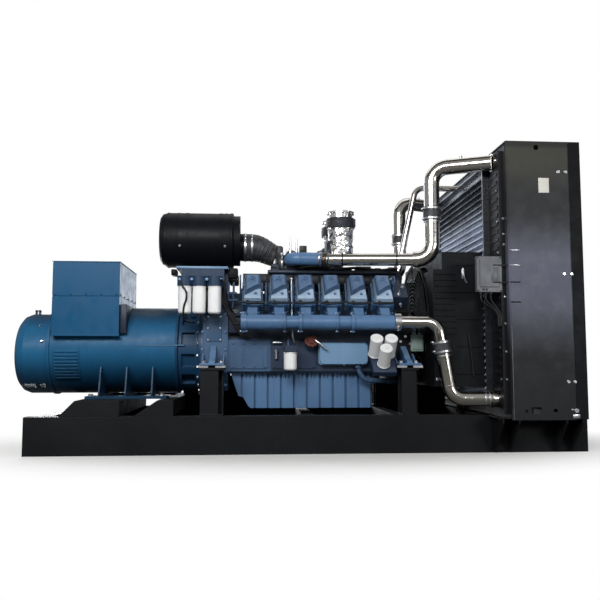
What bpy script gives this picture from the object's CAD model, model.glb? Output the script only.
# Open diesel generator set: finishes for every part, small fittings, light and camera.
# Metres, Z up, alternator at -X, radiator at +X, service side at -Y.
import math
import random

import bmesh
import bpy
from mathutils import Matrix, Vector, noise


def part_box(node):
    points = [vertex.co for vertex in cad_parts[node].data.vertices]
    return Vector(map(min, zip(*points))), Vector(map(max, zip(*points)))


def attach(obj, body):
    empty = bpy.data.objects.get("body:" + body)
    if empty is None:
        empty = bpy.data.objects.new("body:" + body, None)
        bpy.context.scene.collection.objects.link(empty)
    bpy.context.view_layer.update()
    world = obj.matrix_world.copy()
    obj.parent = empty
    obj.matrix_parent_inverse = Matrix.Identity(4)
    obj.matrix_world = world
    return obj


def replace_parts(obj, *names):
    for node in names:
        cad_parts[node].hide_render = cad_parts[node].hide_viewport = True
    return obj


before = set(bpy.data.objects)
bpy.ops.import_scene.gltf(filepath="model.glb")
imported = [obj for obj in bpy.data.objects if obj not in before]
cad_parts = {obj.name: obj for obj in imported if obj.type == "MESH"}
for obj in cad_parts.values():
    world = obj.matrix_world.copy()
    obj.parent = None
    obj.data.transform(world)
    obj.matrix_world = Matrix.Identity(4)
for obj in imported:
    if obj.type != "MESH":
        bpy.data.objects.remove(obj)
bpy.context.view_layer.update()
railLow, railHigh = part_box("base_rails")
midX = (railLow.x + railHigh.x) / 2  # places along the set count from the middle of the base
random.seed(12)


def at(x, y, z):
    return Vector((midX + x, y, z))


# ---- camera ----

cameraSet = {"place": (-0.356, -5.93, 0.678), "tilt": 95.06, "turn": -4.07, "lens": 42, "sensor": 36, "reach": 100}


def makeCamera():
    data = bpy.data.cameras.new("camera")
    data.lens, data.sensor_width = cameraSet["lens"], cameraSet["sensor"]
    data.clip_end = cameraSet["reach"]
    camera = bpy.data.objects.new("camera", data)
    camera.location = cameraSet["place"]
    camera.rotation_euler = (math.radians(cameraSet["tilt"]), 0, math.radians(cameraSet["turn"]))
    bpy.context.scene.collection.objects.link(camera)
    bpy.context.scene.camera = camera


makeCamera()


# ---- node helpers ----


def hexColor(code):
    parts = [int(code[i:i + 2], 16) / 255 for i in (1, 3, 5)]
    return [*(c / 12.92 if c <= 0.04045 else ((c + 0.055) / 1.055) ** 2.4 for c in parts), 1.0]


# a node tree with the few kinds of node that the finishes are made of
class Net:
    def __init__(self, tree):
        self.tree = tree

    def plug(self, value, socket):
        if isinstance(value, bpy.types.NodeSocket):
            self.tree.links.new(value, socket)
        else:
            socket.default_value = hexColor(value) if isinstance(value, str) else value

    def fill(self, node, sockets):
        for key, value in sockets.items():
            self.plug(value, node.inputs[key])
        return node.outputs

    def add(self, kind, sockets, **settings):
        node = self.tree.nodes.new(kind)
        for name, value in settings.items():
            setattr(node, name, value)
        return self.fill(node, sockets)

    def use(self, group, **sockets):
        return self.add("ShaderNodeGroup", {"Place": self.place, **sockets}, node_tree=group.tree)

    def calc(self, op, a, b=0.0, clamp=False):
        return self.add("ShaderNodeMath", {0: a, 1: b}, operation=op, use_clamp=clamp)[0]

    def times(self, a, b, clamp=False):
        return self.calc("MULTIPLY", a, b, clamp)

    def plus(self, a, b, clamp=False):
        return self.calc("ADD", a, b, clamp)

    def scaled(self, where, scale):
        return self.add("ShaderNodeVectorMath", {0: where, 1: scale}, operation="MULTIPLY")[0]

    def dot(self, a, b):
        return self.add("ShaderNodeVectorMath", {0: a, 1: b}, operation="DOT_PRODUCT")[1]

    def split(self, where):
        return self.add("ShaderNodeSeparateXYZ", {0: where})

    def mixColor(self, share, a, b, blend="MIX"):
        return self.add("ShaderNodeMix", {0: share, 6: a, 7: b}, data_type="RGBA", blend_type=blend)[2]

    def mixValue(self, share, a, b):
        return self.add("ShaderNodeMix", {0: share, 2: a, 3: b}, data_type="FLOAT")[0]

    def grain(self, where, scale, detail=4.0, rough=0.55):
        sockets = {"Vector": where, "Scale": scale, "Detail": detail, "Roughness": rough}
        return self.add("ShaderNodeTexNoise", sockets)[0]

    def remap(self, value, low, high, toLow=0.0, toHigh=1.0):
        sockets = {0: value, 1: low, 2: high, 3: toLow, 4: toHigh}
        return self.add("ShaderNodeMapRange", sockets, interpolation_type="SMOOTHSTEP")[0]


socketKinds = {"value": "NodeSocketFloat", "color": "NodeSocketColor", "vector": "NodeSocketVector"}


def newGroup(name, takes, gives):
    group = bpy.data.node_groups.new(name, "ShaderNodeTree")
    for way, kinds in (("INPUT", takes), ("OUTPUT", gives)):
        for kind, labels in kinds.items():
            for label in labels.split():
                group.interface.new_socket(name=label, in_out=way, socket_type=socketKinds[kind])
    net = Net(group)
    net.take = group.nodes.new("NodeGroupInput").outputs
    net.result = group.nodes.new("NodeGroupOutput")
    net.place = net.take["Place"]
    return net


# ---- shared surface effects ----

# bare edges where paint rubs off: rounded normal against the true one, broken up by noise
edgeWear = net = newGroup(
    "edgeWear", {"vector": "Place", "value": "Width Breakup"}, {"value": "Mask", "vector": "Normal"})
rounded = net.add("ShaderNodeBevel", {"Radius": net.take["Width"]}, samples=4)[0]
rim = net.remap(net.dot(rounded, net.add("ShaderNodeNewGeometry", {})["True Normal"]), 0.995, 0.8)
chipping = net.remap(net.grain(net.place, net.take["Breakup"], 5.0, 0.7), 0.46, 0.62)
net.fill(net.result, {"Mask": net.times(rim, chipping), "Normal": rounded})

# dust that lies on faces looking up, thin and patchy
settledDust = net = newGroup("settledDust", {"vector": "Place", "value": "Amount"}, {"value": "Mask"})
upward = net.split(net.add("ShaderNodeNewGeometry", {})["True Normal"])[2]
patches = net.remap(net.grain(net.place, 7.0, 6.0, 0.65), 0.3, 0.75, 0.35, 1.0)
lying = net.times(net.remap(upward, 0.25, 0.95), patches)
film = net.remap(net.grain(net.place, 2.6, 5.0, 0.6), 0.45, 0.8, 0.0, 0.16)
net.fill(net.result, {"Mask": net.times(net.plus(lying, film), net.take["Amount"], True)})

# sprayed coat: slow shade drift, orange peel, runs of grime, chips and dust on top
sprayedCoat = net = newGroup(
    "sprayedCoat",
    {"vector": "Place", "color": "Base Deep Bare Dust", "value": "Drift Chips Grime Roughness Peel Wear Dusting"},
    {"color": "Color", "value": "Roughness Height Metal"})
take = net.take
cloud = net.grain(net.place, 11.0, 4.0, 0.6)
drifting = net.plus(net.grain(net.place, 1.7, 3.0, 0.5), net.times(cloud, 0.5))
tint = net.mixColor(net.times(net.remap(drifting, 0.55, 0.95), take["Drift"]), take["Base"], take["Deep"])
tallPlace = net.add("ShaderNodeMapping", {"Vector": net.place, "Scale": (34.0, 34.0, 2.2)})[0]
runs = net.remap(net.grain(tallPlace, 1.0, 5.0, 0.6), 0.52, 0.72)
tint = net.mixColor(net.times(runs, take["Grime"]), tint, take["Deep"])
tint = net.mixColor(take["Dusting"], tint, take["Dust"])
bare = net.times(take["Wear"], take["Chips"], True)
matt = net.plus(take["Roughness"], net.remap(cloud, 0.3, 0.7, -0.06, 0.08))
soft = net.plus(matt, net.times(take["Dusting"], 0.5), True)
finePeel = net.times(net.grain(net.place, 240.0, 3.0, 0.5), net.times(take["Peel"], 0.5))
height = net.plus(net.times(net.grain(net.place, 95.0, 2.0, 0.4), take["Peel"]), finePeel)
net.fill(net.result, {
    "Color": net.mixColor(bare, tint, take["Bare"]), "Roughness": net.mixValue(bare, soft, 0.4),
    "Height": net.calc("SUBTRACT", height, net.times(bare, 0.4)), "Metal": net.times(bare, 0.8)})

# sand casting skin: coarse grains and shallow pits
castSkin = net = newGroup("castSkin", {"vector": "Place", "value": "Grain"}, {"value": "Height Pits"})
grains = net.grain(net.place, net.take["Grain"], 6.0, 0.7)
lumps = net.grain(net.place, net.times(net.take["Grain"], 0.18), 3.0, 0.5)
net.fill(net.result, {"Height": net.plus(net.times(grains, 0.5), lumps), "Pits": net.remap(grains, 0.58, 0.72)})

# bright metal: drawn scratches one way, smears and a warm tint that comes and goes
bareMetal = net = newGroup(
    "bareMetal", {"vector": "Place Along", "color": "Base Stain", "value": "Roughness Staining"},
    {"color": "Color", "value": "Roughness Height"})
lines = net.grain(net.scaled(net.place, net.take["Along"]), 1.0, 4.0, 0.6)
stain = net.times(net.remap(net.grain(net.place, 9.0, 5.0, 0.6), 0.42, 0.75), net.take["Staining"])
rough = net.plus(net.take["Roughness"], net.remap(lines, 0.35, 0.7, -0.05, 0.09))
net.fill(net.result, {
    "Color": net.mixColor(stain, net.take["Base"], net.take["Stain"]),
    "Roughness": net.plus(rough, net.times(stain, 0.3), True), "Height": lines})

# moulded rubber: bloom that greys the surface, fine pores
rubberSkin = net = newGroup(
    "rubberSkin", {"vector": "Place", "color": "Base Bloom", "value": "Blooming Roughness"},
    {"color": "Color", "value": "Roughness Height"})
haze = net.grain(net.place, 14.0, 6.0, 0.65)
pores = net.grain(net.place, 420.0, 2.0, 0.5)
bloom = net.times(net.remap(haze, 0.4, 0.75), net.take["Blooming"])
net.fill(net.result, {
    "Color": net.mixColor(bloom, net.take["Base"], net.take["Bloom"]),
    "Roughness": net.plus(net.take["Roughness"], net.times(bloom, 0.25), True),
    "Height": net.plus(net.times(pores, 0.4), haze)})
print("shared surface effects built")


# ---- finishes ----


def startMaterial(name):
    material = bpy.data.materials.new(name)
    material.use_nodes = True
    net = Net(material.node_tree)
    net.shader = net.tree.nodes["Principled BSDF"]
    net.place = net.add("ShaderNodeTexCoord", {})["Object"]
    return material, net


# how far a place lies along a direction, the same on both sides of the middle line
def alongWay(net, direction):
    split = net.split(net.place)
    joined = net.add("ShaderNodeCombineXYZ", {0: split[0], 1: net.calc("ABSOLUTE", split[1]), 2: split[2]})[0]
    return net.dot(joined, direction)


def rimmed(net, share, color, rim):
    return net.mixColor(net.times(net.wear["Mask"], share), color, rim)


def finishWorn(net, height, strength, distance, sockets):
    bump = {"Height": height, "Strength": strength, "Distance": distance, "Normal": net.wear["Normal"]}
    net.fill(net.shader, {**sockets, "Normal": net.add("ShaderNodeBump", bump)[0]})


# with tones, the deep colour is a factor on the toned base
def paint(net, base, deep, dust, bare, rough, drift, chips, grime, dusting, specular, cast=0.0, edge=0.004, coat=0.0,
          peel=0.5, tones=()):
    net.wear = net.use(edgeWear, Width=edge, Breakup=38.0)
    for direction, low, high, color in tones:
        base = net.mixColor(net.remap(alongWay(net, direction), low, high), base, color)
    if tones:
        deep = net.mixColor(1.0, base, deep, "MULTIPLY")
    lying = net.use(settledDust, Amount=dusting)["Mask"]
    skin = net.use(sprayedCoat, Base=base, Deep=deep, Bare=bare, Dust=dust, Drift=drift, Chips=chips, Grime=grime,
                   Roughness=rough, Peel=peel, Wear=net.wear["Mask"], Dusting=lying)
    height = skin["Height"]
    if cast:
        height = net.plus(height, net.times(net.use(castSkin, Grain=130.0)["Height"], cast))
    finishWorn(net, height, 0.35, 0.002, {
        "Base Color": skin["Color"], "Roughness": skin["Roughness"], "Metallic": skin["Metal"],
        "Specular IOR Level": specular, "Coat Weight": coat, "Coat Roughness": 0.2})


def metal(net, base, stain, rough, staining, bump=0.15, along=(300.0, 300.0, 300.0)):
    net.wear = net.use(edgeWear, Width=0.002, Breakup=60.0)
    skin = net.use(bareMetal, Base=base, Stain=stain, Along=along, Roughness=rough, Staining=staining)
    finishWorn(net, skin["Height"], bump, 0.0006, {
        "Base Color": rimmed(net, 0.2, skin["Color"], "#ffffff"), "Roughness": skin["Roughness"], "Metallic": 1.0})


def rubber(net, base, bloom, rough, blooming, specular=0.3):
    net.wear = net.use(edgeWear, Width=0.003, Breakup=50.0)
    skin = net.use(rubberSkin, Base=base, Bloom=bloom, Blooming=blooming, Roughness=rough)
    finishWorn(net, skin["Height"], 0.3, 0.0012, {
        "Base Color": rimmed(net, 0.35, skin["Color"], bloom), "Roughness": skin["Roughness"],
        "Specular IOR Level": specular})


def casting(net, base, rust, rough, rusting, metallic):
    net.wear = net.use(edgeWear, Width=0.004, Breakup=45.0)
    skin = net.use(castSkin, Grain=150.0)
    scorch = net.remap(net.grain(net.place, 8.0, 6.0, 0.65), 0.4, 0.7, 0.0, rusting)
    tint = net.mixColor(net.times(skin["Pits"], 0.5), net.mixColor(scorch, base, rust), "#1b1a19")
    finishWorn(net, skin["Height"], 0.5, 0.002, {
        "Base Color": rimmed(net, 0.5, tint, "#9a9894"), "Metallic": metallic,
        "Roughness": net.remap(skin["Height"], 0.5, 0.9, rough - 0.1, rough + 0.15)})


# paint: colour, deep colour, dust, bare metal; rough, drift, chips, grime, dusting, specular, cast, edge, coat, peel
# metal, rubber and casting: two colours; rough, then how stained, bloomed or rusted it is
finishTable = {
    "frameBlack": (paint, "#16181b #0e0f12 #4c4944 #6f7072", 0.48, 0.8, 0.15, 0.3, 0.2, 0.16, 0.0, 0.005),
    "alternatorBlue": (paint, "#1f5e86 #b4bac0 #7f95a6 #8a8f96", 0.42, 0.45, 0.25, 0.2, 0.05, 0.16, 0.0, 0.005, 0.02),
    "terminalBlue": (paint, "#0b4f77 #0a4263 #7f95a6 #8a8f96", 0.35, 0.15, 0.06, 0.12, 0.02, 0.24),
    "adapterBlue": (paint, "#1a4060 #102c44 #6d8192 #8a8f96", 0.45, 0.5, 0.25, 0.3, 0.1, 0.2, 0.0, 0.005),
    "engineBlue": (paint, "#4f7299 #345378 #93a2b3 #8a8f96", 0.38, 0.5, 0.3, 0.35, 0.2, 0.45, 0.5, 0.005),
    "blockBlue": (paint, "#3c5877 #263c56 #7f8ea1 #8a8f96", 0.45, 0.6, 0.2, 0.5, 0.2, 0.35, 0.9, 0.005),
    "crankBlue": (paint, "#3c5877 #a0a8b4 #7f8ea1 #8a8f96", 0.45, 0.6, 0.2, 0.5, 0.2, 0.3, 0.9, 0.005),
    "headBlue": (paint, "#3a628c #26476b #7f8ea1 #8a8f96", 0.42, 0.6, 0.2, 0.4, 0.15, 0.35, 0.6, 0.005),
    "shelfBlue": (paint, "#213650 #1c2f47 #6d7c90 #8a8f96", 0.42, 0.5, 0.2, 0.3, 0.15, 0.25, 0.3, 0.005),
    "coverBlue": (paint, "#6d90b1 #54789a #a9b8c8 #8a8f96", 0.34, 0.4, 0.2, 0.1, 0.15, 0.5, 0.2),
    "frontBlack": (paint, "#121418 #0a0b0d #43423f #606266", 0.5, 0.6, 0.15, 0.3, 0.25, 0.12),
    "cleanerBlack": (paint, "#0e1015 #08090c #484852 #5c5e63", 0.45, 0.5, 0.1, 0.12, 0.1, 0.12),
    "panelBlack": (paint, "#101316 #c4c4c8 #5b5a52 #7a7b7e", 0.52, 0.15, 0.1, 0.15, 0.1, 0.35, 0.0, 0.003),
    "rockerBlue": (paint, "#a3bad0 #b4bcc6 #a3b3c4 #8a8f96", 0.36, 0.5, 0.25, 0.3, 0.2, 0.45, 0.4),
    "deepBlue": (paint, "#1d2a3d #111a28 #59657a #8a8f96", 0.45, 0.6, 0.2, 0.4, 0.25, 0.35, 0.6),
    "tankBlack": (paint, "#131418 #0a0b0e #3f3e3a #6a6b6e", 0.48, 0.6, 0.12, 0.3, 0.25, 0.2),
    "louvreGrey": (paint, "#d6e0f2 #a8acb6 #aab0bc #9aa0ab", 0.28, 0.5, 0.2, 0.2, 0.15, 0.8, 0.0, 0.003),
    "boxGrey": (paint, "#5d6066 #4c4f54 #98989a #8a8f96", 0.4, 0.4, 0.15, 0.2, 0.2, 0.4),
    "filterWhite": (paint, "#e9eaea #d3d6d9 #c9c6bd #b9bbbd", 0.3, 0.4, 0.05, 0.15, 0.25, 0.5, 0.0, 0.004, 0.2, 0.2),
    "brightSteel": (metal, "#c9ccd1 #8d8b86", 0.3, 0.35),
    "zincSteel": (metal, "#b7b9bb #8a8168", 0.36, 0.5),
    "polishedSteel": (metal, "#cac7c1 #9a9082", 0.13, 0.35, 0.06, (14.0, 160.0, 160.0)),
    "bellowsSteel": (metal, "#8d8177 #5f4c3f", 0.34, 0.6),
    "foilWrap": (metal, "#efefef #b4b1ab", 0.22, 0.3, 0.1),
    "darkSteel": (casting, "#262d38 #38332f", 0.5, 0.5, 0.5),
    "pulleyIron": (casting, "#37383b #4b3d33", 0.42, 0.3, 0.7),
    "exhaustIron": (casting, "#2c3038 #45382f", 0.6, 0.5, 0.4),
    "hoseRubber": (rubber, "#25262a #606267", 0.5, 0.45, 0.45),
    "beltRubber": (rubber, "#101113 #4a4b4e", 0.6, 0.35),
    "cableBlack": (rubber, "#131417 #4a4b4e", 0.42, 0.2),
    "capRed": (paint, "#56231a #3a1712 #8d8c86 #8c5a4c", 0.5, 0.5, 0.2, 0.3, 0.2, 0.3),
    "paleGreen": (paint, "#8fa39b #6d8079 #8d8c86 #8a8f96", 0.45, 0.5, 0.2, 0.3, 0.35, 0.35),
    "plateWhite": (paint, "#d9d7cf #c4c1b6 #8d8c86 #a7a49a", 0.4, 0.5, 0.1, 0.2, 0.1, 0.4, 0.0, 0.004, 0.0, 0.15),
}
# tones that change a paint's colour along a direction, between two places
toRadiator, toTop, toFloor, toSide, upTheBank = (1, 0, 0), (0, 0, 1), (0, 0, -1), (0, 1, 0), (0, 0.7071, 0.7071)
ledge = 0.697 + 0.776 * 0.7071
toneTable = {
    "alternatorBlue": [(toFloor, -0.78, -0.5, "#0f3550"), (toTop, 0.93, 1.1, "#102c42")],
    "crankBlue": [(toRadiator, midX - 0.32, midX - 0.3, "#223148"), (toTop, 0.845, 0.87, "#1a2636")],
    "panelBlack": [(toTop, 0.68, 1.22, "#595c6b"), (toTop, 1.4, 1.8, "#242628"), (toTop, 1.9, 2.2, "#3a3b34"),
                   (toTop, 2.26, 2.3, "#252623"), (toRadiator, midX + 1.888, midX + 1.9, "#0b0b0d")],
    "rockerBlue": [(upTheBank, ledge, ledge + 0.004, "#4a688b")],
    "louvreGrey": [(toTop, 1.74, 1.98, "#2a303e"), (toSide, 0.646, 0.652, "#1a1e25")],
}
finishes = {}
for name, (maker, colors, *look) in finishTable.items():
    finishes[name], net = startMaterial(name)
    maker(net, *colors.split(), *look, **({"tones": toneTable[name]} if name in toneTable else {}))

# the slot of the small pieces in each finish, and the nodes that wear it
wornBy = {
    "frameBlack": ("", "base_rails base_cross_members radiator_supports engine_pedestals alternator_supports"),
    "alternatorBlue": ("alternator_blue", "alternator_frame alternator_end_housing alternator_louvres alternator_feet"),
    "adapterBlue": ("", "alternator_adapter"),
    "terminalBlue": ("", "terminal_box terminal_box_lid"),
    "engineBlue": ("engine_blue", "oil_sump intake_manifolds compressor_pipes mount_brackets"),
    "rockerBlue": ("", "rocker_covers"),
    "blockBlue": ("engine_blue", "flywheel_housing"),
    "crankBlue": ("", "crankcase crankcase_covers"),
    "headBlue": ("", "cylinder_heads"),
    "deepBlue": ("cast_iron", "front_accessories"),
    "shelfBlue": ("", "air_cleaner_bracket"),
    "coverBlue": ("cooler_blue", "oil_cooler_covers"),
    "brightSteel": ("mount_steel", "mount_pads"),
    "zincSteel": ("mount_steel", ""),
    "capRed": ("mount_steel", ""),
    "frontBlack": ("front_black", "gear_case fan fan_guard fan_shroud"),
    "pulleyIron": ("", "pulleys"),
    "beltRubber": ("", "drive_belts"),
    "exhaustIron": ("cast_iron", "exhaust_manifolds"),
    "darkSteel": ("cast_iron", "turbochargers"),
    "foilWrap": ("exhaust_steel", "exhaust_outlets"),
    "bellowsSteel": ("exhaust_steel", ""),
    "polishedSteel": ("", "upper_charge_pipes lower_charge_pipes"),
    "hoseRubber": ("hose_rubber", "intake_hose pipe_couplings"),
    "cableBlack": ("hose_rubber", ""),
    "cleanerBlack": ("cleaner_black", "air_cleaner"),
    "filterWhite": ("filter_white", "spin_on_filters"),
    "louvreGrey": ("louvre_grey", "radiator_louvres"),
    "tankBlack": ("", "radiator_core radiator_tanks"),
    "panelBlack": ("cowl_black", "radiator_cowl"),
    "plateWhite": ("cowl_black", ""),
    "boxGrey": ("box_grey", "control_box"),
    "paleGreen": ("box_grey", ""),
}
for finishName, (_, names) in wornBy.items():
    for name in names.split():
        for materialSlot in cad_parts[name].material_slots:
            materialSlot.material = finishes[finishName]
print("finishes on every part")


# ---- mesh helpers ----

shaftZ = 0.776  # height of the crankshaft, which both cylinder banks lean out from
tilt = math.sqrt(0.5)
out, back, up, down, rear, front = (0, -1, 0), (0, 1, 0), (0, 0, 1), (0, 0, -1), (-1, 0, 0), (1, 0, 0)
sides = (-1, 1)
flanks = ((-1, out), (1, back))


def onBank(side, x, toVee, lift):
    return at(x, side * tilt * (lift - toVee), shaftZ + tilt * (lift + toVee))


def bankAxes(side):
    return Vector((0, side * tilt, tilt)), Vector((0, side * tilt, -tilt))


def steps(first, last, count):
    return [first + (last - first) * i / (count - 1) for i in range(count)]


def newMeshes(count):
    return [bmesh.new() for _ in range(count)]


def asMesh(bm, name="unit"):
    mesh = bpy.data.meshes.new(name)
    bm.to_mesh(mesh)
    bm.free()
    return mesh


def newPiece(name, bm, finish, smooth=38):
    bmesh.ops.recalc_face_normals(bm, faces=bm.faces)
    mesh = asMesh(bm, name)
    for face in mesh.polygons:
        face.use_smooth = True
    mesh.set_sharp_from_angle(angle=math.radians(smooth))
    mesh.materials.append(finishes[finish])
    piece = bpy.data.objects.new(name, mesh)
    bpy.context.scene.collection.objects.link(piece)
    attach(piece, "root")
    return piece


def pour(bm, unit, matrix):
    unit.transform(matrix)
    bm.from_mesh(unit)
    bpy.data.meshes.remove(unit)


def lookAlong(place, axis, size=1.0):
    turn = Vector(up).rotation_difference(Vector(axis)).to_matrix().to_4x4()
    return Matrix.Translation(place) @ turn @ Matrix.Scale(size, 4)


def block(bm, low, high, edge=0.003, rounds=2):
    low, high = Vector(low), Vector(high)
    size = high - low
    matrix = Matrix.Translation((low + high) / 2) @ Matrix.Diagonal((*size, 1))
    verts = bmesh.ops.create_cube(bm, size=1, matrix=matrix)["verts"]
    if edge:
        edges = list({e for v in verts for e in v.link_edges})
        bmesh.ops.bevel(bm, geom=edges, offset=min(edge, min(size) * 0.45), offset_type="OFFSET", affect="EDGES",
                        segments=rounds, profile=0.5, material=-1)


# block between places counted from the middle of the base
def slab(bm, low, high, edge=0.003, rounds=2):
    block(bm, at(*low), at(*high), edge, rounds)


# slab mirrored to one side, from its near face to its far face
def sideSlab(bm, side, low, high, edge=0.003, rounds=2):
    near, far = sorted((side * low[1], side * high[1]))
    slab(bm, (low[0], near, low[2]), (high[0], far, high[2]), edge, rounds)


# plates given by low corner, high corner, edge and rounds, on each of the sides asked for
def platesPiece(name, finish, plates, over=sides):
    bm = bmesh.new()
    for side in over:
        for plate in plates:
            sideSlab(bm, side, *plate)
    newPiece(name, bm, finish)


def lathe(bm, place, axis, profile, turns=24, closed=False):
    turned = bmesh.new()
    verts = [turned.verts.new((r, 0, z)) for r, z in profile]
    for a, b in zip(verts, verts[1:] + (verts[:1] if closed else [])):
        turned.edges.new((a, b))
    bmesh.ops.spin(turned, geom=turned.verts[:] + turned.edges[:], cent=(0, 0, 0), axis=up, angle=math.tau,
                   steps=turns, use_merge=True)
    bmesh.ops.remove_doubles(turned, verts=turned.verts, dist=1e-5)
    pour(bm, asMesh(turned), lookAlong(place, axis))


def disc(bm, place, axis, radius, height, edge=0.002, turns=12):
    e = min(edge, height * 0.45, radius * 0.45)
    lathe(bm, place, axis,
          [(0, 0), (radius - e, 0), (radius, e), (radius, height - e), (radius - e, height), (0, height)], turns)


def band(bm, place, axis, radius, width, thick=0.002, turns=32):
    h = width / 2
    lathe(bm, place, axis, [(radius, -h), (radius + thick, -h), (radius + thick, h), (radius, h)], turns, True)


def tube(bm, points, radii, corners=12):
    if isinstance(radii, float):
        radii = [radii] * len(points)
    heading = (points[1] - points[0]).normalized()
    start = lookAlong(points[0], heading)
    rim = bmesh.ops.create_circle(bm, cap_ends=True, segments=corners, radius=radii[0], matrix=start)["verts"]
    face = rim[0].link_faces[0]
    for i in range(1, len(points)):
        after = points[min(i + 1, len(points) - 1)] - points[i - (i == len(points) - 1)]
        before = points[i] - points[i - 1]
        turnTo = (before.normalized() + after.normalized()).normalized()
        grown = bmesh.ops.extrude_face_region(bm, geom=[face])["geom"]
        face = next(g for g in grown if isinstance(g, bmesh.types.BMFace))
        turn = heading.rotation_difference(turnTo).to_matrix().to_4x4()
        matrix = (Matrix.Translation(points[i]) @ turn @ Matrix.Scale(radii[i] / radii[i - 1], 4)
                  @ Matrix.Translation(-points[i - 1]))
        bmesh.ops.transform(bm, matrix=matrix, verts=face.verts)
        heading = turnTo


def softPath(points, bend, rounds=5):
    path = [points[0]]
    for before, corner, after in zip(points, points[1:], points[2:]):
        reach = min(bend, (before - corner).length * 0.48, (after - corner).length * 0.48)
        a = corner + (before - corner).normalized() * reach
        b = corner + (after - corner).normalized() * reach
        for k in range(rounds + 1):
            t = k / rounds
            path.append(a * (1 - t) ** 2 + corner * 2 * t * (1 - t) + b * t * t)
    return path + [points[-1]]


# tube through stops counted from the middle of the base, with rounded corners
def pipe(bm, stops, radius, corners, bend, rounds=5):
    tube(bm, softPath([at(*stop) for stop in stops], bend, rounds), radius, corners)


def bankPipe(bm, side, stops, radius, corners, bend, rounds=4):
    tube(bm, softPath([onBank(side, *stop) for stop in stops], bend, rounds), radius, corners)


def hexHead():
    bm = bmesh.new()
    disc(bm, (0, 0, 0), up, 0.62, 0.12, 0.03, 12)
    head = bmesh.ops.create_cone(bm, cap_ends=True, segments=6, radius1=0.56, radius2=0.56, depth=0.4,
                                 matrix=Matrix.Translation((0, 0, 0.32)))["verts"]
    top = [e for v in head for e in v.link_edges if all(w.co.z > 0.5 for w in e.verts)]
    bmesh.ops.bevel(bm, geom=list(set(top)), offset=0.06, offset_type="OFFSET", affect="EDGES", segments=1,
                    profile=0.5, material=-1)
    return asMesh(bm)


hexHeadMesh = hexHead()


def bolt(bm, place, axis, size, spin=0.0):
    pour(bm, hexHeadMesh.copy(), lookAlong(place, axis, size) @ Matrix.Rotation(spin, 4, "Z"))


boltSizes = {"mount": 0.036, "adapter": 0.024, "panel": 0.022, "cover": 0.02, "small": 0.014, "trim": 0.011,
             "screw": 0.01}


def boltsPiece(name, spots, size, finish):
    bm = bmesh.new()
    for place, axis in spots:
        bolt(bm, place, axis, boltSizes[size], random.random() * 1.05)
    return newPiece(name, bm, finish)


def hoseClamp(bm, place, axis, radius, toScrew, width=0.012):
    band(bm, place, axis, radius, width, 0.0018, 40)
    axis, toScrew = Vector(axis).normalized(), Vector(toScrew).normalized()
    along = axis.cross(toScrew)
    seat = Vector(place) + toScrew * (radius + 0.006)
    disc(bm, seat - along * 0.018, along, 0.0065, 0.036, 0.001, 10)
    bolt(bm, seat + along * 0.018, along, 0.012)


def ring(centre, axis, radius, count, start=0.0):
    u = Vector(axis).orthogonal().normalized()
    v = Vector(axis).cross(u)
    turns = [start + math.tau * i / count for i in range(count)]
    return [(Vector(centre) + radius * (u * math.cos(a) + v * math.sin(a)), axis) for a in turns]


# ---- bolts ----

mountX = (-0.817, -0.689, 0.681, 0.801)
boltsPiece("adapterBolts", ring(at(-0.877, 0, shaftZ), rear, 0.356, 24, 0.13), "adapter", "zincSteel")
boltsPiece("mountBolts", [(at(x, y, 0.669), up) for y in (-0.62, 0.62) for x in mountX], "mount", "brightSteel")
boltsPiece("footBolts", [(at(x, y, 0.415), up) for x in (-1.69, -1.15) for y in (-0.4, 0.4)], "mount", "brightSteel")

cylinders = {"first": -0.452, "pitch": 0.205, "count": 6}
cylinderX = [cylinders["first"] + cylinders["pitch"] * i for i in range(cylinders["count"])]
headSpots = []
for side in sides:
    upBank, outBank = bankAxes(side)
    for x in cylinderX:
        for dx in (-0.0745, 0.0745):
            headSpots += [(onBank(side, x + dx, v, 0.635), upBank) for v in (-0.085, 0.0, 0.085)]
        for dx in (-0.037, 0.037):
            headSpots.append((onBank(side, x + dx, -0.149, 0.582 + dx * 0.4), outBank))
boltsPiece("headBolts", headSpots, "trim", "zincSteel")

# ears above and below the joints of the intake manifold, each with its bolt
earSet = {"reach": 0.068, "half": (0.011, 0.01), "spans": (
    (-0.54, 0.044), (-0.214, 0.012), (-0.102, 0.026), (0.188, 0.012), (0.3, 0.024))}
bm = bmesh.new()
flangeSpots = []
for side in sides:
    for x, width in earSet["spans"]:
        for lift in sides:
            seat = onBank(side, x, -0.294, 0.582) + Vector((0, 0, lift * earSet["reach"]))
            block(bm, seat - Vector((0, *earSet["half"])), seat + Vector((width, *earSet["half"])), 0.004, 3)
            flangeSpots += [(seat + Vector((x, 0, lift * 0.001)), axis) for x, axis in ((width, front), (0, rear))]
newPiece("manifoldEars", bm, "engineBlue")
boltsPiece("manifoldBolts", flangeSpots, "trim", "brightSteel")

coverSpots, coolerSpots, sumpSpots = [], [], []
for side, axis in flanks:
    coverSpots += [(at(x, side * 0.441, z), axis) for x in (-0.84, -0.66) for z in steps(0.5, 1.05, 5)]
    coverSpots += [(at(x, side * 0.431, 0.64), axis) for x in steps(0.5, 0.66, 3)]
    coolerSpots += [(at(x, side * 0.491, z), axis) for x, z in (
        (0.09, 0.67), (0.26, 0.66), (0.435, 0.67), (0.09, 0.81), (0.26, 0.82), (0.435, 0.81))]
    sumpSpots += [(at(x, side * 0.37, 0.591), down) for x in steps(-0.6, 0.52, 15)]
boltsPiece("sideCoverBolts", coverSpots, "cover", "engineBlue")
boltsPiece("coolerBolts", coolerSpots, "small", "coverBlue")
boltsPiece("sumpBolts", sumpSpots, "small", "engineBlue")
print("bolts placed")


# ---- hose from the air cleaner ----

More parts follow.
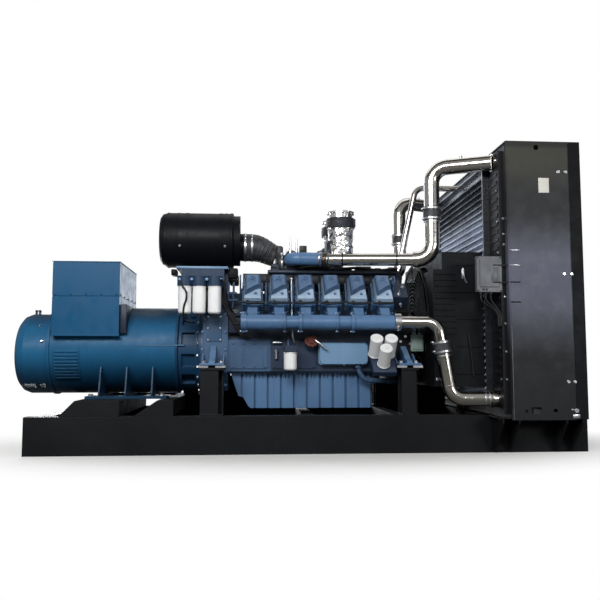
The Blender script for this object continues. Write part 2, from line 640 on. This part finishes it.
turboY = 0.2
hoseSet = {"ribs": 0.003, "ribsFrom": -0.46, "corners": 40, "stops": [
    (-0.53, 1.65, 0.119), (-0.5, 1.65, 0.1165), (-0.47, 1.649, 0.1165), (-0.44, 1.648, 0.115), (-0.41, 1.641, 0.1125),
    (-0.38, 1.631, 0.1085), (-0.35, 1.6185, 0.103), (-0.32, 1.603, 0.098), (-0.29, 1.589, 0.0935),
    (-0.256, 1.576, 0.0895)]}


def intakeHose():
    bm = bmesh.new()
    points, radii = [], []
    for (x0, z0, r0), (x1, z1, r1) in zip(hoseSet["stops"], hoseSet["stops"][1:]):
        for k in range(4):
            t = k / 4
            points.append(at(x0 + (x1 - x0) * t, 0, z0 + (z1 - z0) * t))
            radii.append(r0 + (r1 - r0) * t + hoseSet["ribs"] * (k == 2 and x0 > hoseSet["ribsFrom"]))
    tube(bm, points + [at(-0.2555, 0, 1.576)], radii + [0.0895], hoseSet["corners"])
    # plenum that feeds both turbochargers
    slab(bm, (-0.2555, -turboY, 1.428), (-0.2005, turboY, 1.638), 0.02, 5)
    for y in (-turboY, turboY):
        cone = [(0, 0), (0.07, 0), (0.088, 0.01), (0.094, 0.024), (0.094, 0.055), (0, 0.055)]
        lathe(bm, at(-0.2555, y, 1.485), front, cone, 40)
    return newPiece("intakeHose", bm, "hoseRubber")


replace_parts(intakeHose(), "intake_hose")

bm = bmesh.new()
for x, z, radius in ((-0.514, 1.65, 0.119), (-0.458, 1.649, 0.1185)):
    hoseClamp(bm, at(x, 0, z), front, radius, (0, -0.7, 0.7), 0.016)
for side in sides:
    hoseClamp(bm, at(-0.216, side * turboY, 1.485), front, 0.0945, (0, side, 0.4), 0.014)
newPiece("hoseClamps", bm, "brightSteel")
print("intake hose built")


# ---- air cleaner fittings ----

cleanerSet = {"z": 1.704, "studs": (-1.047, -0.68), "angles": (200, 340, 90), "straps": (-1.0, -0.72)}
bm = bmesh.new()
for x in cleanerSet["studs"]:
    for angle in cleanerSet["angles"]:
        a = math.radians(angle)
        axis = (0, math.cos(a), math.sin(a))
        disc(bm, at(x, 0.234 * axis[1], cleanerSet["z"] + 0.234 * axis[2]), axis, 0.011, 0.012)
newPiece("cleanerStuds", bm, "brightSteel")
bm = bmesh.new()
for x in cleanerSet["straps"]:
    band(bm, at(x, 0, cleanerSet["z"]), front, 0.2325, 0.03, 0.002, 72)
newPiece("cleanerStraps", bm, "cleanerBlack")


# ---- charge pipe fittings ----

sleeveSet = {"upper": (0.39, 0.61), "lower": (0.24, 0.41), "ribs": 5}
bm, dark, bellows = newMeshes(3)


def clampRows(start, end, radius, shares):
    for share in shares:
        hoseClamp(bm, start + (end - start) * share, end - start, radius, rear, 0.014)


for side in sides:
    low, high = (at(0.949, side * 0.6, 1.599 + 0.476 * share) for share in sleeveSet["upper"])
    clampRows(low, high, 0.0692, (0.12, 0.88))
    a, b = at(0.95, side * 0.716, 0.975), at(1.036, side * 0.744, 0.404)
    clampRows(*(a.lerp(b, share) for share in sleeveSet["lower"]), 0.0652, (0.14, 0.86))
    # beads below the sleeves
    band(bm, low - Vector((0, 0, 0.012)), up, 0.0602, 0.01, 0.005)
    band(bm, a.lerp(b, sleeveSet["lower"][1] + 0.03), b - a, 0.0542, 0.01, 0.005)
    # blue pipe to bright pipe: short sleeve and two clamps
    first, last = at(0.0902, side * 0.402, 1.497), at(0.154, side * 0.431, 1.489)
    along, length = (last - first).normalized(), (last - first).length
    ribs = [(0.0, 0.0), (0.056, 0.0)]
    for k in range(sleeveSet["ribs"]):
        ribs += [(0.049, length * (k + 0.3) / 5.4), (0.058, length * (k + 0.8) / 5.4)]
    lathe(bellows, first, along, ribs + [(0.051, length * 0.95), (0.051, length), (0.0, length)], 40)
    for share, radius in ((0.06, 0.0575), (0.93, 0.0515)):
        hoseClamp(bm, first.lerp(last, share), along, radius, (0, side, 0.5), 0.012)
    # plastic ties that hold a small harness on the pipe
    for x, y, z in ((0.261, 0.4536, 1.4878), (0.678, 0.5424, 1.4794)):
        band(dark, at(x, side * y, z), (0.98, side * 0.2, -0.02), 0.0492, 0.012, 0.003, 24)
newPiece("pipeClamps", bm, "brightSteel")
newPiece("pipeTies", dark, "cableBlack")
newPiece("pipeBellows", bellows, "bellowsSteel")

bm = bmesh.new()
for side in sides:
    # clamp that joins the manifold to the bright pipe
    hoseClamp(bm, onBank(side, 0.658, -0.294, 0.582), front, 0.0645, (0, side, -0.8), 0.026)
    # small boss on the top run
    disc(bm, at(1.16, side * 0.693, 2.256), up, 0.013, 0.018)
    bolt(bm, at(1.16, side * 0.693, 2.272), up, 0.02)
    # beads at the cooler inlet
    for x, y, rise in ((1.31, 0.7808, 0.006), (1.28, 0.7766, 0.004)):
        band(bm, at(x, side * y, 0.404), (0.99, side * 0.13, 0), 0.0542, 0.011, rise)
newPiece("pipeEnds", bm, "brightSteel")
print("charge pipe fittings built")


# ---- exhaust wrap and its clamps ----

wrapSet = {"folds": 0.007, "scale": 19.0, "radius": 0.1, "step": 0.009}
outletX = 0.278


def foilSleeve(side):
    y = side * turboY
    points = softPath([at(0.176, y, 1.57), at(outletX, y, 1.57), at(outletX, y, 1.782)], 0.1, 10)
    stops = []
    for a, b in zip(points, points[1:]):
        count = max(1, round((b - a).length / wrapSet["step"]))
        stops += [a.lerp(b, k / count) for k in range(count)]
    stops.append(points[-1])
    wrap = bmesh.new()
    tube(wrap, stops, [wrapSet["radius"]] * len(stops), 56)
    for vert in wrap.verts:
        centre = min(stops, key=lambda p: (p - vert.co).length_squared)
        away = vert.co - centre
        if away.length < 1e-4:
            continue
        crease = 1 - abs(noise.noise(vert.co * wrapSet["scale"]))
        crease += 0.5 * (1 - abs(noise.noise(vert.co * wrapSet["scale"] * 2.3 + Vector((3, 1, 2)))))
        vert.co += away.normalized() * wrapSet["folds"] * (crease - 1.0) * 2
    return asMesh(wrap)


bm = bmesh.new()
for side in sides:
    pour(bm, foilSleeve(side), Matrix())
newPiece("exhaustWrap", bm, "foilWrap", smooth=24)

bandSet = {"radius": 0.1165, "lugs": (25, 150, 270), "lug": Vector((0.012, 0.012, 0.034))}
bandProfile = [(0.1145, -0.042), (0.1185, -0.038), (0.1165, -0.03), (0.1165, 0.03), (0.1185, 0.038), (0.1145, 0.042)]
clampProfile = [(0.099, -0.012), (0.112, -0.006), (0.112, 0.008), (0.099, 0.014)]
bm, dark, bright = newMeshes(3)
for side in sides:
    y = side * turboY
    top = at(outletX, y, 1.824)
    lathe(bm, top, up, bandProfile, 48, True)
    # clamp ring on the turbine outlet and its lugs
    lathe(dark, at(0.172, y, 1.57), front, clampProfile, 48, True)
    slab(dark, (0.16, side * 0.308 - 0.014, 1.552), (0.186, side * 0.308 + 0.014, 1.59), 0.004)
    for angle in bandSet["lugs"]:
        a = math.radians(angle)
        seat = top + bandSet["radius"] * Vector((math.cos(a), math.sin(a) * side, 0))
        block(dark, seat - bandSet["lug"], seat + bandSet["lug"])
    # small eye and stud above the outlet flange
    tube(bright, [at(0.3, side * 0.306, 1.86), at(0.3, side * 0.306, 1.905)], 0.006, 10)
    for place, axis in ring(at(outletX, y, 1.906), down, 0.106, 8):
        bolt(bright, place, axis, 0.014)
newPiece("exhaustBands", bm, "exhaustIron")
newPiece("exhaustLugs", dark, "darkSteel")
newPiece("exhaustStuds", bright, "zincSteel")
print("exhaust wrap built")


# ---- filters and fuel lines ----


def rolledSeam(bm, place, axis, radius):
    lathe(bm, place, axis, [(radius, 0), (radius + 0.003, 0.002), (radius + 0.003, 0.008), (radius, 0.01)], 40, True)


fuelX, fuelY = (-0.965, -0.857, -0.74), -0.6
bm, dark, bright, plugs = newMeshes(4)
for x in fuelX:
    # rolled seam and drain cup of each fuel filter
    rolledSeam(bm, at(x, fuelY, 1.24), up, 0.0495)
    disc(dark, at(x, fuelY, 1.022), up, 0.02, 0.018, 0.004, 20)
    disc(dark, at(x, fuelY, 1.004), up, 0.009, 0.02)
    bolt(bright, at(x, fuelY, 1.306), up, 0.034)
    if x != fuelX[-1]:
        pipe(dark, [(x + 0.03, -0.6, 1.012), (x + 0.052, -0.61, 1.0), (x + 0.056, -0.62, 0.975)], 0.005, 8, 0.02)
disc(bright, at(-0.161, -0.548, 0.755), up, 0.013, 0.045, 0.003, 12)
disc(dark, at(-0.161, -0.548, 0.596), up, 0.012, 0.016, 0.003, 12)
# hose loops from the fuel head
pipe(dark, [(-0.985, -0.642, 1.3), (-0.985, -0.662, 1.25), (-0.948, -0.668, 1.21), (-0.944, -0.664, 1.15),
            (-0.966, -0.656, 1.1), (-0.972, -0.652, 1.03), (-0.965, -0.6, 0.985), (-0.9, -0.5, 0.98)],
     0.0075, 12, 0.04, 6)
pipe(dark, [(-0.7, -0.642, 1.3), (-0.665, -0.66, 1.29), (-0.655, -0.63, 1.2), (-0.64, -0.55, 1.12),
            (-0.6, -0.47, 1.06)], 0.0075, 12, 0.05, 6)
for x in (-1.0, -0.911, -0.798, -0.69):
    disc(plugs, at(x, -0.64, 1.3), out, 0.011, 0.01)
# light edge of the shelf and the dark plate behind the filters
slab(plugs, (-1.06, -0.3475, 1.42), (-0.65, -0.3452, 1.4395), 0.001)
newPiece("filterHeadPlugs", plugs, "coverBlue")
slab(dark, (-0.96, -0.546, 1.06), (-0.7, -0.538, 1.2675))
newPiece("fuelFilterSeams", bm, "filterWhite")
newPiece("fuelLines", dark, "cableBlack")
newPiece("fuelFittings", bright, "zincSteel")

# seams on the oil filters: a rolled rim and a hexagon on each far end
bm = bmesh.new()
oilAxis = Vector((0, -tilt, tilt))
for x, drop in ((0.488, 0.0), (0.6, 0.0), (0.545, 0.076)):
    end = at(x, -0.69 - drop, shaftZ + 0.085 - drop)
    rolledSeam(bm, end - oilAxis * 0.178, oilAxis, 0.0465)
    disc(bm, end, oilAxis, 0.016, 0.006, 0.002, 6)
newPiece("oilFilterSeams", bm, "filterWhite")
print("filters finished")


# ---- small engine fittings ----


def liftingEye():
    eye = bmesh.new()
    lathe(eye, (0, 0, 0), front, [(0.022, -0.006), (0.044, -0.006), (0.044, 0.006), (0.022, 0.006)], 24, True)
    block(eye, (-0.006, -0.044, -0.1), (0.006, 0.044, -0.03), 0.002)
    return asMesh(eye)


bm, dark, bright, blue = newMeshes(4)
for side in sides:
    upBank, outBank = bankAxes(side)
    # fuel pipes between the heads, and the return rail above the manifold
    for i in range(cylinders["count"] - 1):
        x = -0.3495 + cylinders["pitch"] * i
        bankPipe(blue, side, [(x, -0.02, 0.74), (x, -0.1, 0.735), (x, -0.16, 0.69), (x, -0.17, 0.6)], 0.006, 8, 0.03)
        bolt(blue, onBank(side, x, -0.17, 0.66), upBank, 0.02)
        bankPipe(dark, side, [(x + 0.014, 0.1, 0.72), (x + 0.014, 0.0, 0.71), (x + 0.01, -0.05, 0.64)], 0.009, 8, 0.04)
    for x in cylinderX:
        for dx in (-0.05, 0.045):
            bolt(blue, onBank(side, x + dx, -0.255, 0.638), upBank, 0.016)
        # cable and cap of each injector
        disc(dark, onBank(side, x - 0.04, -0.132, 0.655), outBank, 0.012, 0.018, 0.003, 12)
        stops = [(x - 0.04, -0.148, 0.655), (x - 0.04, -0.165, 0.68), (x - 0.1, -0.165, 0.67)]
        bankPipe(dark, side, stops, 0.0045, 8, 0.02)
    # harness along the heads
    tube(dark, [onBank(side, x, -0.166 + 0.004 * math.sin(x * 31), 0.668 + 0.004 * math.cos(x * 23))
                for x in steps(-0.56, 0.64, 30)], 0.009, 10)
    # lifting eyes at both ends of the bank
    for x in (-0.547, 0.657):
        turn = Matrix.Rotation(-side * math.pi / 4, 4, "X")
        pour(blue, liftingEye(), Matrix.Translation(onBank(side, x, 0.02, 0.735)) @ turn)

# dipstick tube between the second and third heads
pipe(bright, [(-0.15, -0.5, 1.325), (-0.147, -0.5, 1.06), (-0.14, -0.5, 0.86), (-0.12, -0.47, 0.82)], 0.0075, 10, 0.05)
disc(bright, at(-0.15, -0.5, 1.318), up, 0.013, 0.016, 0.003, 12)
pipe(blue, [(-0.176, -0.5, 0.848), (-0.166, -0.5, 0.72), (-0.153, -0.47, 0.578)], 0.008, 10, 0.1)
pipe(dark, [(-0.19, -0.5, 0.87), (-0.176, -0.5, 0.87), (-0.176, -0.5, 0.84)], 0.006, 8, 0.012, 3)
# bar and fitting on the crankcase side
slab(bright, (-0.295, -0.474, 0.822), (-0.225, -0.45, 0.834))
disc(bright, at(-0.265, -0.462, 0.7), up, 0.011, 0.06, 0.003, 12)
bolt(bright, at(-0.265, -0.462, 0.76), up, 0.026)
# oil return pipe under the cooler
pipe(blue, [(0.377, -0.455, 0.655), (0.385, -0.455, 0.6), (0.432, -0.455, 0.535), (0.66, -0.452, 0.529),
            (0.7, -0.43, 0.529)], 0.02, 16, 0.06, 7)
for place, axis in ((at(0.377, -0.455, 0.64), up), (at(0.62, -0.453, 0.5295), front)):
    lathe(blue, place, axis, [(0.0, -0.008), (0.026, -0.008), (0.028, 0), (0.026, 0.008), (0, 0.008)], 24)

# oil filler: neck, knurled cap and lever
fillerSet = {"knobs": 14, "seat": (0.006, -0.492, 0.828)}
tube(blue, [at(0.0, -0.425, 0.79), at(0.004, -0.47, 0.815), at(*fillerSet["seat"])], 0.034, 20)
cap, red = newMeshes(2)
for i in range(fillerSet["knobs"]):
    turn = math.tau * i / fillerSet["knobs"]
    disc(cap, (0.044 * math.cos(turn), 0.044 * math.sin(turn), 0.003), up, 0.011, 0.024, 0.003, 10)
disc(cap, (0, 0, 0), up, 0.046, 0.03, 0.006, 40)
disc(cap, (0, 0, 0.03), up, 0.03, 0.008, 0.003, 32)
pour(red, asMesh(cap), lookAlong(at(*fillerSet["seat"]), (0, -0.86, 0.5)))
newPiece("oilFillerCap", red, "capRed")
pipe(bright, [(0.035, -0.52, 0.845), (0.07, -0.532, 0.82), (0.125, -0.53, 0.772)], 0.0085, 10, 0.03, 4)

# grey speed governor housing beside the front mount
slab(bm, (0.8, -0.47, 0.76), (0.9, -0.4, 0.892), 0.008, 3)
slab(bm, (0.812, -0.478, 0.775), (0.888, -0.47, 0.877), 0.004)
disc(bm, at(0.83, -0.44, 0.892), up, 0.016, 0.02, 0.003, 16)
disc(bm, at(0.872, -0.44, 0.892), up, 0.012, 0.016, 0.003, 16)
newPiece("governorHousing", bm, "paleGreen")
pipe(dark, [(0.872, -0.44, 0.905), (0.87, -0.44, 1.0), (0.8, -0.4, 1.06)], 0.007, 10, 0.04)
# cable bundle down the flywheel housing, with a tie
bundleSet = {"cables": 4, "pitch": 0.012, "stops": [
    (-0.7, -0.47, 1.22), (-0.67, -0.478, 1.1), (-0.6, -0.478, 0.98), (-0.55, -0.47, 0.89), (-0.5, -0.455, 0.86)]}
for k in range(bundleSet["cables"]):
    pipe(dark, [(x + bundleSet["pitch"] * k, y, z) for x, y, z in bundleSet["stops"]], 0.0065, 10, 0.06)
slab(dark, (-0.6, -0.49, 0.972), (-0.54, -0.462, 0.98), 0.002)
# upright pipes with a cross fitting by the first head
for x in (-0.64, -0.6):
    pipe(blue, [(x, -0.43, 1.3), (x, -0.435, 1.2), (x - 0.006, -0.43, 1.1)], 0.009, 10, 0.04, 4)
for z in (1.215, 1.16):
    disc(blue, at(-0.66, -0.435, z), front, 0.012, 0.085)
bolt(blue, at(-0.575, -0.435, 1.16), front, 0.022)
# plate on the flywheel housing with its screws
slab(blue, (-0.806, -0.4465, 0.835), (-0.69, -0.4405, 1.042))
for x in (-0.795, -0.701):
    for z in (0.85, 0.94, 1.03):
        bolt(bright, at(x, -0.4465, z), out, 0.012)
# sensors and plugs on the front housings
for side, flank in flanks:
    upBank, outBank = bankAxes(side)
    for *spot, axis in ((0.7, -0.04, 0.655, upBank), (0.745, 0.05, 0.655, upBank), (0.72, -0.071, 0.58, outBank)):
        place = onBank(side, *spot)
        bolt(bright, place, axis, 0.024)
        disc(bright, place + axis * 0.01, axis, 0.006, 0.03, 0.001, 10)
    for x, z in ((0.72, 0.84), (0.76, 0.88), (0.8, 0.82), (0.74, 0.77)):
        bolt(bright, at(x, side * 0.44, z), flank, 0.02)
newPiece("fuelPipes", bright, "brightSteel")
newPiece("engineCables", dark, "cableBlack")
newPiece("liftingEyes", blue, "blockBlue")

# prongs and block on the blue compressor pipes
bm = bmesh.new()
for side in sides:
    for x in (-0.15, -0.098):
        tube(bm, [at(x, side * 0.34, z) for z in (1.54, 1.6, 1.688)], [0.012, 0.0085, 0.0045], 12)
newPiece("pipeStuds", bm, "brightSteel")
platesPiece("pipeSensors", "cableBlack", [((-0.078, 0.33, 1.548), (-0.02, 0.39, 1.608), 0.006, 3)])
print("engine fittings built")


# ---- alternator fittings ----

# each clip on the end housing: place, height over the shaft, length
clipSet = {"radius": 0.326, "sink": 0.028, "clips": (
    (-2.097, 0.065, 0.03), (-2.131, 0.189, 0.022), (-2.085, 0.284, 0.022))}
bm = bmesh.new()
for side in sides:
    for x, dz, length in clipSet["clips"]:
        y = side * math.sqrt(clipSet["radius"] ** 2 - (dz + clipSet["sink"]) ** 2)
        axis = Vector((0, y, dz)).normalized()
        seat = at(x, y, shaftZ + dz)
        disc(bm, seat - Vector((length / 2, 0, 0)), front, 0.008, length, 0.002, 10)
        disc(bm, seat - axis * 0.006, axis, 0.009, 0.016, 0.002, 10)
tube(bm, [at(-2.246, 0, 1.098), at(-2.194, 0, 1.098)], 0.007, 12)
newPiece("alternatorClips", bm, "brightSteel")

lidLow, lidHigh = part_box("terminal_box_lid")
boxLow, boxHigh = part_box("terminal_box")
lidSet = {"screws": 5, "sink": 0.005, "lift": 0.018}
screws = []
for y, axis in ((lidLow.y + lidSet["sink"], out), (lidHigh.y - lidSet["sink"], back)):
    for x in steps(lidLow.x + 0.03, lidHigh.x - 0.03, lidSet["screws"]):
        screws.append((Vector((x, y, lidLow.z + lidSet["lift"])), axis))
for x, axis in ((lidLow.x + lidSet["sink"], rear), (lidHigh.x - lidSet["sink"], front)):
    for y in steps(lidLow.y + 0.05, lidHigh.y - 0.05, lidSet["screws"]):
        screws.append((Vector((x, y, lidLow.z + lidSet["lift"])), axis))
boltsPiece("terminalScrews", screws, "screw", "alternatorBlue")
# cable glands under the lid on the engine side
bm = bmesh.new()
for y in (-0.2, -0.07, 0.07, 0.2):
    place = Vector((boxHigh.x, y, boxLow.z + 0.17))
    disc(bm, place, front, 0.034, 0.012, 0.003, 6)
    disc(bm, place + Vector((0.012, 0, 0)), front, 0.028, 0.024, 0.006, 24)
newPiece("cableGlands", bm, "cableBlack")
print("alternator fittings built")


# ---- radiator fittings ----

panelSet = {"y": 0.95, "pairs": ((1.819, 1.877, 2.093), (1.839, 1.895, 1.325), (1.845, 1.895, 0.533)),
            "tankZ": (1.744, 1.628, 1.549, 1.157, 0.959, 0.754, 0.55)}
pairs, trims = [], []
for side, axis in flanks:
    for x0, x1, z in panelSet["pairs"]:
        pairs += [(at(x, side * panelSet["y"], z), axis) for x in (x0, x1)]
    trims += [(at(1.408, side * 0.9, z), axis) for z in panelSet["tankZ"]]
    trims += [(at(1.38, side * 0.86, z), rear) for z in steps(0.55, 2.2, 8)]
boltsPiece("panelBolts", pairs, "panel", "brightSteel")
boltsPiece("tankBolts", trims, "small", "zincSteel")
platesPiece("blankPlate", "plateWhite", [((1.664, -0.9545, 1.932), (1.745, -0.9503, 2.045), 0.0012)], (1,))

bright, grey = newMeshes(2)
for side, flank in flanks:
    for z in (1.5, 1.388):
        sideSlab(bright, side, (1.425, 0.951, z - 0.003), (1.51, 0.954, z + 0.003), 0.001)
    # door hinges and a lower catch
    sideSlab(bright, side, (1.87, 0.9505, 0.27), (1.925, 0.9555, 0.3), 0.002)
    disc(bright, at(1.9, side * 0.9503, 0.325), flank, 0.018, 0.008, 0.003, 20)
    disc(bright, at(1.87, side * 0.9503, 0.333), flank, 0.008, 0.006)
    # latch and cable on the side of the fan shroud
    pipe(bright, [(1.176, side * 0.642, 1.405), (1.17, side * 0.662, 1.4), (1.176, side * 0.664, 1.33),
                  (1.197, side * 0.66, 1.29), (1.2, side * 0.642, 1.288)], 0.007, 10, 0.02, 4)
    sideSlab(bright, side, (1.165, 0.639, 1.32), (1.19, 0.647, 1.395))
    pipe(grey, [(1.205, side * 0.652, 0.9), (1.212, side * 0.653, 0.847), (1.23, side * 0.653, 0.7),
                (1.237, side * 0.65, 0.571)], 0.006, 10, 0.08)
    for x in (0.96, 0.995):
        bolt(bright, at(x, side * 0.64, 0.545), flank, 0.022)
# folded edge of the cover sheet
platesPiece("panelLips", "panelBlack", [((1.423, 0.9505, 0.34), (1.431, 0.9545, 2.2), 0.0015)])
newPiece("shroudLatches", bright, "brightSteel")
newPiece("shroudCable", grey, "cableBlack")

# control box: screws, blanking plugs, two straps to the radiator side and cables below
face, cableX, cablePitch = -0.922, (1.225, 1.262, 1.3), 0.012
bm, dark = newMeshes(2)
for x, z in ((1.2, 1.2), (1.371, 1.2), (1.2, 1.446), (1.371, 1.446)):
    bolt(dark, at(x, face, z), out, 0.009)
for x in (1.24, 1.263):
    disc(dark, at(x, face, 1.209), out, 0.0085, 0.003, 0.001, 16)
for z in (1.258, 1.386):
    slab(dark, (1.31, face - 0.012, z), (1.424, face - 0.006, z + 0.008), 0.002)
for k, x in enumerate(cableX):
    disc(dark, at(x, -0.9, 1.191), down, 0.014, 0.018, 0.003, 16)
    off = cablePitch * k
    stops = [(x, -0.9, 1.18), (x, -0.9, 1.13), (1.35 + off, -0.907, 1.04), (1.352 + off, -0.907, 0.94)]
    pipe(dark, stops, 0.006, 8, 0.05)
slab(bm, (1.296, face - 0.0095, 1.262), (1.35, face - 0.0075, 1.375), 0.001)
newPiece("controlBoxPlate", bm, "boxGrey")
newPiece("controlBoxPlugs", dark, "cableBlack")

# rungs along the sides of the louvre frame
rungs = [((1.334, 0.6803, z), (1.376, 0.6827, z + 0.009), 0) for z in steps(0.545, 2.15, 46)]
platesPiece("louvreRungs", "louvreGrey", rungs)

# heat shields and harness in the vee; each hump: its ends, top and half width
veeSet = {"y": 0.24, "humps": (
    (-0.2, -0.13, 1.462, 0.04), (0.012, 0.05, 1.47, 0.03), (0.27, 0.36, 1.452, 0.045), (0.39, 0.52, 1.462, 0.035),
    (0.545, 0.6, 1.447, 0.05), (0.66, 0.74, 1.456, 0.04))}
bm, dark = newMeshes(2)
for side in sides:
    y = veeSet["y"]
    sideSlab(bm, side, (-0.33, y - 0.062, 1.393), (0.76, y + 0.062, 1.424), 0.01, 3)
    for x0, x1, top, half in veeSet["humps"]:
        sideSlab(bm, side, (x0, y - half, 1.42), (x1, y + half, top), 0.008, 3)
    disc(bm, at(-0.27, side * 0.29, 1.442), (0, -side, 0), 0.036, 0.1, 0.006, 28)
    tube(dark, [at(x, side * (0.29 + 0.012 * math.sin(9 * x)), 1.438 + 0.008 * math.sin(17 * x + 1))
                for x in steps(-0.3, 0.74, 40)], 0.011, 10)
newPiece("veeShields", bm, "deepBlue")
newPiece("veeHarness", dark, "cableBlack")
print("radiator fittings built")


# ---- guards, feet, bands and strips ----

# black feet of the air cleaner under both ends of its shelf
platesPiece("cleanerFeet", "frontBlack", [
    ((-1.105, 0.17, 1.372), (-1.0605, 0.3, 1.421), 0.008), ((-0.6495, 0.17, 1.35), (-0.57, 0.3, 1.434), 0.012)])
# dark guards beside the sump, on the far side only
guardSet = {"spans": ((-1.055, -0.86), (-0.7, -0.4), (0.66, 0.93), (1.0, 1.3)), "foot": 0.272, "top": 0.56}
platesPiece("sumpGuards", "frontBlack", [
    ((low, 0.366, guardSet["foot"]), (high, 0.37, guardSet["top"]), 0) for low, high in guardSet["spans"]], (1,))
# matt strip over each outlet post and a light edge on each radiator side
platesPiece("postStrips", "frontBlack", [((1.901, 0.9495, 0.262), (1.9895, 0.953, 2.32), 0.001, 1)])
platesPiece("panelEdges", "boxGrey", [((1.4315, 0.9495, 0.264), (1.4375, 0.953, 0.94), 0.001, 1)])
# bright bands round the ends of the lower charge pipes
bm = bmesh.new()
for side in sides:
    band(bm, at(0.659, side * 0.622, 0.984), front, 0.0645, 0.046)
newPiece("pipeBands", bm, "brightSteel")
# dark plates over the block's left shoulder, dark saddle under the terminal box, pale strips along the barrel
platesPiece("shoulderPlates", "deepBlue", [((-0.6385, 0.4302, 0.905), (-0.543, 0.437, 1.09), 0.002)])
platesPiece("boxSaddle", "deepBlue", [((-1.4887, -0.372, 0.9), (-1.437, 0.372, 1.129), 0.004)], (1,))
platesPiece("barrelStrips", "coverBlue", [
    ((-1.36, 0.3545, 0.8065), (-0.985, 0.3568, 0.8115), 0.0008, 1)])
print("guards, feet, bands and strips placed")


# ---- light, floor and background ----

lightSet = {"world": 0.16, "mirrored": 0.35, "floor": ("#e9e9e7", "#eeeeec"), "bounce": "#6c6c6a",
            "cards": ("#5a5650", "#736e67"), "window": ("#dfe8f4", 3.4)}
# each lamp: place, aim, size and power
lampTable = {
    "keyLight": ((-1.8, -5.6, 3.6), (0, -0.3, 1.0), (4.4, 1.4), 330.0),
    "fillLight": ((4.0, -5.9, 1.9), (1.4, -0.9, 1.3), (1.8, 0.8), 75.0),
    "sideLight": ((-2.4, 3.2, 0.8), (1.4, 0, 1.7), (2.2, 1.2), 135.0),
    "topLight": ((0.2, 1.4, 5.0), (0, 0, 1.0), (4.5, 2.0), 40.0),
}


def linked(name, data):
    thing = bpy.data.objects.new(name, data)
    bpy.context.scene.collection.objects.link(thing)
    return thing


def areaLight(name, place, aim, size, power):
    data = bpy.data.lights.new(name, "AREA")
    data.shape = "RECTANGLE"
    data.size, data.size_y = size
    data.energy = power
    lamp = linked(name, data)
    lamp.location = place
    lamp.rotation_euler = (Vector(aim) - Vector(place)).to_track_quat("-Z", "Y").to_euler()


for name, lampSet in lampTable.items():
    areaLight(name, *lampSet)


def flatMesh(name, matrix):
    bm = bmesh.new()
    bmesh.ops.create_grid(bm, x_segments=1, y_segments=1, size=1, matrix=matrix)
    return asMesh(bm, name)


# a card that only reflections see, turned up from lying flat
def mirroredCard(name, place, turn, size):
    stretch = Matrix.Diagonal((size[0] / 2, size[1] / 2, 1, 1))
    turned = Matrix.Translation(place) @ Matrix.Rotation(math.radians(turn), 4, "X")
    card = linked(name, flatMesh(name, turned @ stretch))
    card.visible_camera = card.visible_diffuse = card.visible_transmission = False
    card.visible_shadow = card.visible_volume_scatter = False
    material, net = startMaterial(name)
    card.data.materials.append(material)
    return net


# dark cards keep the contrast of bright pipes and black paint
def darkCard(*shape):
    net = mirroredCard(*shape)
    soft = net.remap(net.grain(net.place, 0.6), 0.3, 0.7)
    color = net.mixColor(soft, *lightSet["cards"])
    net.fill(net.shader, {"Base Color": color, "Roughness": 1.0, "Specular IOR Level": 0.0})


for side in sides:
    darkCard("lowCard", (0, side * 5.4, 0.35), side * 21.0, (18.0, 6.8))
darkCard("topCard", (0, 0, 6.2), 0.0, (14.0, 4.4))


# a bright window far behind lights faces met at a low angle
def windowCard(*shape):
    net = mirroredCard(*shape)
    color, strength = lightSet["window"]
    tallPlace = net.add("ShaderNodeMapping", {"Vector": net.place, "Scale": (2.2, 1.0, 0.25)})[0]
    soft = net.remap(net.grain(tallPlace, 1.0), 0.35, 0.65, 0.6, 1.0)
    glow = net.add("ShaderNodeEmission", {"Color": color, "Strength": net.times(soft, strength)})[0]
    net.plug(glow, net.tree.nodes["Material Output"].inputs["Surface"])


windowCard("windowCard", (-0.5, 6.5, 3.0), 90, (6.0, 4.0))


def whiteWorld():
    world = bpy.data.worlds.new("world")
    bpy.context.scene.world = world
    world.use_nodes = True
    net = Net(world.node_tree)
    path = net.add("ShaderNodeLightPath", {})
    level = net.mixValue(path["Is Glossy Ray"], lightSet["world"], lightSet["mirrored"])
    strength = net.mixValue(path["Is Camera Ray"], level, 1.0)
    net.fill(net.tree.nodes["Background"], {"Color": "#ffffff", "Strength": strength})


# the camera sees a pale floor that turns white far out; light that bounces from it is dimmer
def paleFloor():
    floor = linked("floor", flatMesh("floor", Matrix.Scale(30, 4)))
    material, net = startMaterial("paleFloor")
    pale = net.mixColor(net.remap(net.grain(net.place, 3.0), 0.3, 0.7), *lightSet["floor"])
    seen = net.add("ShaderNodeLightPath", {})["Is Camera Ray"]
    net.fill(net.shader, {
        "Base Color": net.mixColor(seen, lightSet["bounce"], pale), "Roughness": 0.9, "Specular IOR Level": 0.1})
    spread = net.scaled(net.place, (0.36, 0.62, 0.0))
    reach = net.add("ShaderNodeVectorMath", {0: spread}, operation="LENGTH")[1]
    away = net.times(net.remap(reach, 0.55, 1.25), seen)
    white = net.add("ShaderNodeEmission", {"Color": "#ffffff", "Strength": 1.0})[0]
    blend = net.add("ShaderNodeMixShader", {0: away, 1: net.shader.outputs[0], 2: white})[0]
    net.plug(blend, net.tree.nodes["Material Output"].inputs["Surface"])
    floor.data.materials.append(material)


whiteWorld()
paleFloor()
bpy.context.scene.view_settings.view_transform = "Standard"
print("light and floor placed")
